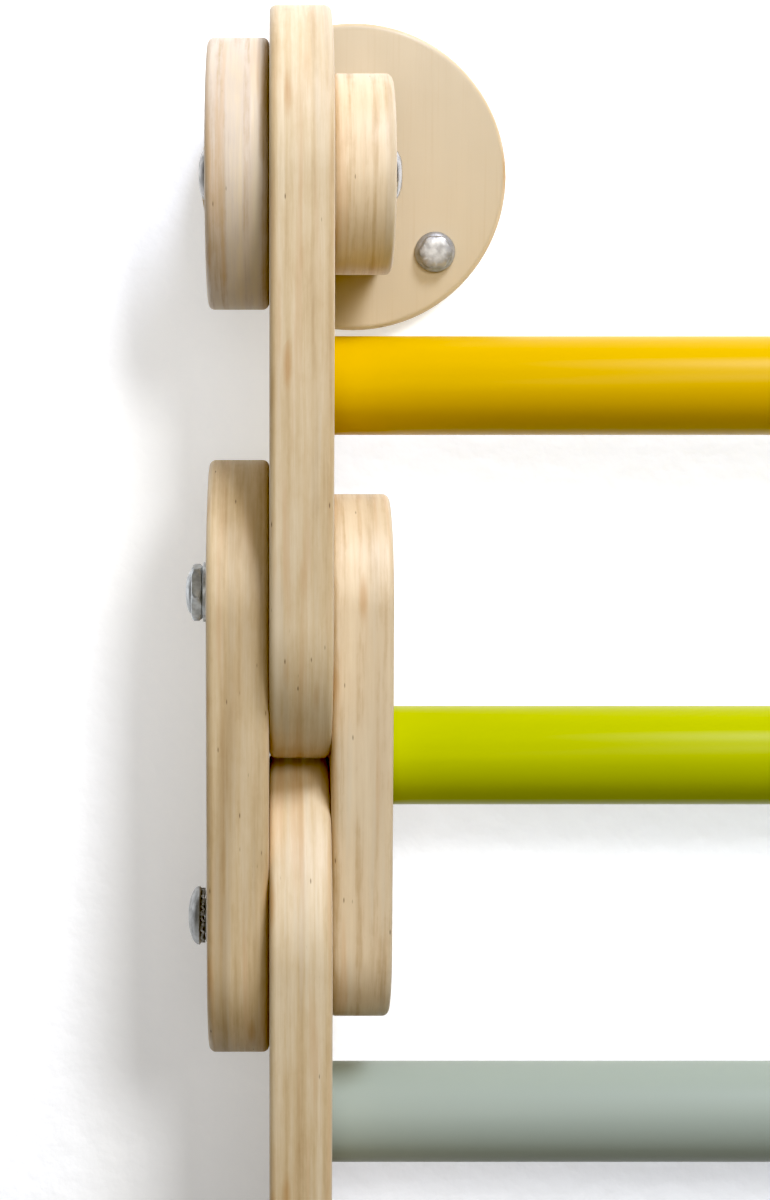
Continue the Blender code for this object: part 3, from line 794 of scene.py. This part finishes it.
bolt_hole = bored_through((0, 0), BOLT_HOLE_RADIUS, BOARD_THICKNESS)
for side, sign in SIDES.items():
    spot = (sign * INNER_CENTRE_X, CHAIN_Y, 0)
    tongue = cut_board(f"finished_tongue_{side}", tongue_outline, [bolt_hole], spot, INWARD["left"])
    fit(tongue, "wall_brackets", f"bracket_tongue_{side}", inner_plywood[side])
    spot = (sign * OUTER_CENTRE_X, CHAIN_Y, 0)
    cover = cut_board(f"finished_cover_{side}", cover_outline, [bolt_hole], spot, INWARD[side])
    fit(cover, "wall_brackets", f"bracket_cover_{side}", cover_plywood[side])
    axis, turn = (0, CHAIN_Y, 0), OUTWARD[side]
    name = f"finished_sleeve_nut_{side}"
    sleeve_nut = turned(name, sleeve_nut_stations(), FASTENER_STEPS, axis, turn)
    fit(sleeve_nut, "wall_brackets", f"bracket_sleeve_nut_{side}", bright_zinc)
    name = f"finished_bracket_screw_{side}"
    screw = turned(name, bracket_screw_stations(), FASTENER_STEPS, axis, turn)
    fit(screw, "wall_brackets", f"bracket_screw_{side}", polished_zinc)

# Room
# A white plastered wall behind the flanges, which can't be seen from behind, and a pale painted
# floor under the lowest links, which gives no light back to the frame.

WALL_Y = 0.0006
WALL_HALF_WIDTH = 2.2
WALL_TOP = 1.4
WALL_GLOW_LOW_Z = -0.50
WALL_GLOW_HIGH_Z = 0.05
WALL_GLOW_BELOW = 0.27
WALL_GLOW_ABOVE = 0.50
FLOOR_Z = -1.5
FLOOR_HALF_WIDTH = 4
FLOOR_GLOW = 0.40


def backdrop(name, corners, material):
    mesh = bpy.data.meshes.new(name)
    mesh.from_pydata(corners, [], [tuple(range(len(corners)))])
    sheet = bpy.data.objects.new(name, mesh)
    bpy.context.scene.collection.objects.link(sheet)
    mesh.materials.append(material)
    return sheet


def matt_paint(name, colour):
    """Matt paint with a fine roller texture. It can shine a little, for an evenly lit studio."""
    material, tree, shader = new_finish(name)
    shader.inputs["Base Color"].default_value = colour
    shader.inputs["Roughness"].default_value = 0.9
    shader.inputs["Specular IOR Level"].default_value = 0.1
    shader.inputs["Emission Color"].default_value = (1, 1, 1, 1)
    place = lay(tree, "ShaderNodeTexCoord").outputs["Object"]
    roughen(tree, shader, cloudy(tree, place, 120.0, detail=4.0), strength=0.35, depth=0.002)
    return material, tree, shader


def wall_paint():
    """White plaster, a little brighter towards the top and clear from behind. Its glow is painted light,
    which lifts the shadows on it and fades downwards.
    """
    material, tree, shader = matt_paint("white_plaster", (0.66, 0.67, 0.69, 1))
    place = lay(tree, "ShaderNodeTexCoord").outputs["Object"]
    height = lay(tree, "ShaderNodeSeparateXYZ", {0: place}).outputs[2]
    # Painted light: a glow that grows towards the top.
    glow = spread(tree, height, WALL_GLOW_LOW_Z, WALL_GLOW_HIGH_Z, WALL_GLOW_BELOW, WALL_GLOW_ABOVE)
    tree.links.new(glow, shader.inputs["Emission Strength"])
    behind = lay(tree, "ShaderNodeNewGeometry").outputs["Backfacing"]
    clear = lay(tree, "ShaderNodeBsdfTransparent").outputs[0]
    mixed = lay(tree, "ShaderNodeMixShader", {0: behind, 1: shader.outputs[0], 2: clear})
    tree.links.new(mixed.outputs[0], tree.nodes["Material Output"].inputs[0])
    return material


def floor_paint():
    material, _, shader = matt_paint("pale_floor", (0.72, 0.72, 0.71, 1))
    shader.inputs["Emission Strength"].default_value = FLOOR_GLOW
    return material


half = WALL_HALF_WIDTH
lower_corners = [(-half, WALL_Y, FLOOR_Z), (half, WALL_Y, FLOOR_Z)]
upper_corners = [(half, WALL_Y, WALL_TOP), (-half, WALL_Y, WALL_TOP)]
room_wall = backdrop("room_wall", lower_corners + upper_corners, wall_paint())
half = FLOOR_HALF_WIDTH
front_corners = [(-half, -half, FLOOR_Z), (half, -half, FLOOR_Z)]
back_corners = [(half, half, FLOOR_Z), (-half, half, FLOOR_Z)]
room_floor = backdrop("room_floor", front_corners + back_corners, floor_paint())
room_floor.visible_diffuse = False

# Light
# A soft lamp overhead, two smaller ones in front and a dim even sky light the frame. The shadows on
# the wall come from a lamp of the wall's own, high on the right in front.


def soft_lamp(name, spot, aim, size, watts, colour):
    lamp = bpy.data.lights.new(name, "AREA")
    lamp.shape = "SQUARE"
    lamp.size = size
    lamp.energy = watts
    lamp.color = colour
    holder = bpy.data.objects.new(name, lamp)
    holder.location = spot
    holder.rotation_euler = (Vector(aim) - Vector(spot)).to_track_quat("-Z", "Y").to_euler()
    holder.visible_camera = False
    bpy.context.scene.collection.objects.link(holder)
    return holder


COOL_WHITE = (0.90, 0.95, 1.12)
WARM_WHITE = (1.0, 0.98, 0.94)
PLAIN_WHITE = (1.0, 1.0, 1.0)
soft_lamp(
    "overhead_lamp",
    spot=(0.12, -0.85, 1.10),
    aim=(-0.20, -0.07, -0.10),
    size=0.42,
    watts=19.0,
    colour=COOL_WHITE,
)
soft_lamp(
    "key_lamp",
    spot=(0.0, -1.10, 0.42),
    aim=(-0.33, -0.07, -0.20),
    size=0.22,
    watts=4.8,
    colour=WARM_WHITE,
)
soft_lamp(
    "front_lamp",
    spot=(-0.33, -1.20, 0.14),
    aim=(-0.33, -0.07, -0.24),
    size=0.4,
    watts=3.6,
    colour=WARM_WHITE,
)
wall_lamp = soft_lamp(
    "wall_lamp",
    spot=(0.05, -1.10, 0.42),
    aim=(-0.38, 0, -0.20),
    size=0.30,
    watts=12.0,
    colour=PLAIN_WHITE,
)
wall_only = bpy.data.collections.new("lit_by_the_wall_lamp")
wall_only.objects.link(room_wall)
wall_lamp.light_linking.receiver_collection = wall_only

SKY_GLOW = 0.05
SKY_SEEN = 0.75
world = bpy.data.worlds.new("studio_sky")
bpy.context.scene.world = world
world.use_nodes = True
sky = world.node_tree
seen = lay(sky, "ShaderNodeLightPath").outputs["Is Camera Ray"]
strength = reckon(sky, "ADD", reckon(sky, "MULTIPLY", seen, SKY_SEEN), SKY_GLOW)
sky.links.new(strength, sky.nodes["Background"].inputs["Strength"])
sky.nodes["Background"].inputs["Color"].default_value = (1.0, 1.0, 1.0, 1)

# Viewpoint
# The photograph's camera: close in front of the left chain, a little below its top bolt, looking
# slightly down.

CAMERA_X = -0.33746
CAMERA_Z = -0.01136
CAMERA_TO_CHAIN = 0.59794
CAMERA_DIP = 0.098
camera = bpy.data.cameras.new("photograph_view")
camera.sensor_width = 36.0
camera.lens = 59.38
camera.shift_x = 0.0945
camera.shift_y = -0.1605
camera.clip_start = 0.02
viewpoint = bpy.data.objects.new("photograph_view", camera)
viewpoint.location = (CAMERA_X, CHAIN_Y - CAMERA_TO_CHAIN, CAMERA_Z)
viewpoint.rotation_euler = (QUARTER - CAMERA_DIP, 0, 0)
bpy.context.scene.collection.objects.link(viewpoint)
bpy.context.scene.camera = viewpoint

# Print
# The photograph's plain contrast, with its darkest tones brought down to black. The level is a
# little higher for blue, which keeps the shadows on the wood warm.

picture = bpy.context.scene.view_settings
picture.view_transform = "Standard"
picture.use_curve_mapping = True
picture.curve_mapping.black_level = (0.025, 0.028, 0.034)
